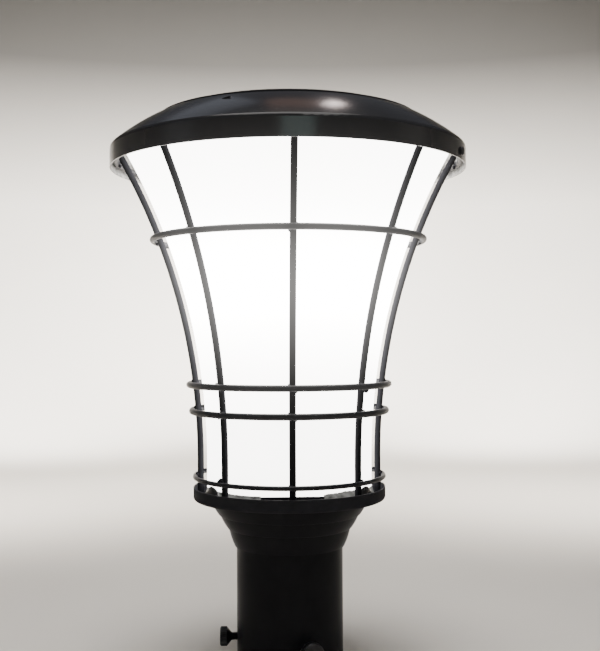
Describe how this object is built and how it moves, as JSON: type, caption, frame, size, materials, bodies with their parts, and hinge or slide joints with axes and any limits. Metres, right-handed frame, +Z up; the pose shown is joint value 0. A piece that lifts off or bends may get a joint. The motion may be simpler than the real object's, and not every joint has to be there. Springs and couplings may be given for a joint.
{
  "type": "gate pillar light",
  "caption": "Trumpet-shaped caged lantern on a pole socket with clamp screws, with a stepped cone, an opal diffuser, a screw-in lamp and a domed cap that lifts off.",
  "frame": {"origin": "centre of the socket tube's lower end, on the axis, where the light stands", "axes": "+Z up along the axis, -Y towards the front bar of the cage, +X to the right seen from the front"},
  "size_m": [0.2559, 0.254, 0.3998],
  "materials": {
    "black_enamel": "semi-gloss black enamel on sheet steel",
    "cage_enamel": "semi-gloss black enamel on round steel bar",
    "blackened_steel": "blackened turned steel",
    "opal_sheet": "opal acrylic, lit from inside",
    "zinc_steel": "bright zinc plate",
    "porcelain": "glazed porcelain",
    "brass": "drawn brass",
    "lamp_nickel": "nickel-plated, dull",
    "lamp_plastic": "moulded white plastic",
    "lamp_opal": "satin opal plastic, lit",
    "led_aluminium": "white-coated aluminium board",
    "grommet_rubber": "black rubber"
  },
  "bodies": {
    "lantern": {"socket_tube": "black_enamel", "stepped_cone": "black_enamel", "base_pan": "black_enamel", "cable_grommet": "grommet_rubber", "cage_bar_1": "cage_enamel", "cage_bar_2": "cage_enamel", "cage_bar_3": "cage_enamel", "cage_bar_4": "cage_enamel", "cage_bar_5": "cage_enamel", "cage_bar_6": "cage_enamel", "cage_bar_7": "cage_enamel", "cage_bar_8": "cage_enamel", "hoop_foot": "cage_enamel", "hoop_lower": "cage_enamel", "hoop_middle": "cage_enamel", "hoop_upper": "cage_enamel", "hoop_top": "cage_enamel", "diffuser_lower": "opal_sheet", "diffuser_upper": "opal_sheet", "diffuser_spacers": "black_enamel", "holder_strap": "black_enamel", "strap_screws": "zinc_steel", "strap_nuts": "zinc_steel", "holder_body": "porcelain", "holder_screws": "zinc_steel", "holder_nuts": "zinc_steel", "holder_shell": "brass", "holder_contact": "brass"},
    "cap": {"cap": "black_enamel"},
    "lamp": {"lamp_tip": "brass", "lamp_base": "lamp_nickel", "lamp_housing": "lamp_plastic", "lamp_led_plate": "led_aluminium", "lamp_globe": "lamp_opal"},
    "cap_screw_right": {"cap_screw_right": "blackened_steel"},
    "cap_screw_left": {"cap_screw_left": "blackened_steel"},
    "thumb_screw_1": {"thumb_screw_1": "blackened_steel"},
    "thumb_screw_2": {"thumb_screw_2": "blackened_steel"},
    "thumb_screw_3": {"thumb_screw_3": "blackened_steel"}
  },
  "joints": [
    {"name": "cap_lift", "type": "slide", "parent": "lantern", "child": "cap", "axis": [0, 0, 1], "range_m": [0, 0.1]},
    {"name": "lamp_unscrew", "type": "slide", "parent": "lantern", "child": "lamp", "axis": [0, 0, 1], "range_m": [0, 0.027]},
    {"name": "cap_screw_right_turn", "type": "slide", "parent": "cap", "child": "cap_screw_right", "axis": [0.9063, -0.4226, 0], "range_m": [0, 0.002]},
    {"name": "cap_screw_left_turn", "type": "slide", "parent": "cap", "child": "cap_screw_left", "axis": [-0.9976, 0.0698, 0], "range_m": [0, 0.002]},
    {"name": "thumb_screw_1_turn", "type": "slide", "parent": "lantern", "child": "thumb_screw_1", "axis": [1, 0, 0], "range_m": [-0.003, 0.0039]},
    {"name": "thumb_screw_2_turn", "type": "slide", "parent": "lantern", "child": "thumb_screw_2", "axis": [-0.2588, 0.9659, 0], "range_m": [-0.003, 0.0039]},
    {"name": "thumb_screw_3_turn", "type": "slide", "parent": "lantern", "child": "thumb_screw_3", "axis": [-0.6428, -0.766, 0], "range_m": [-0.003, 0.0039]}
  ]
}
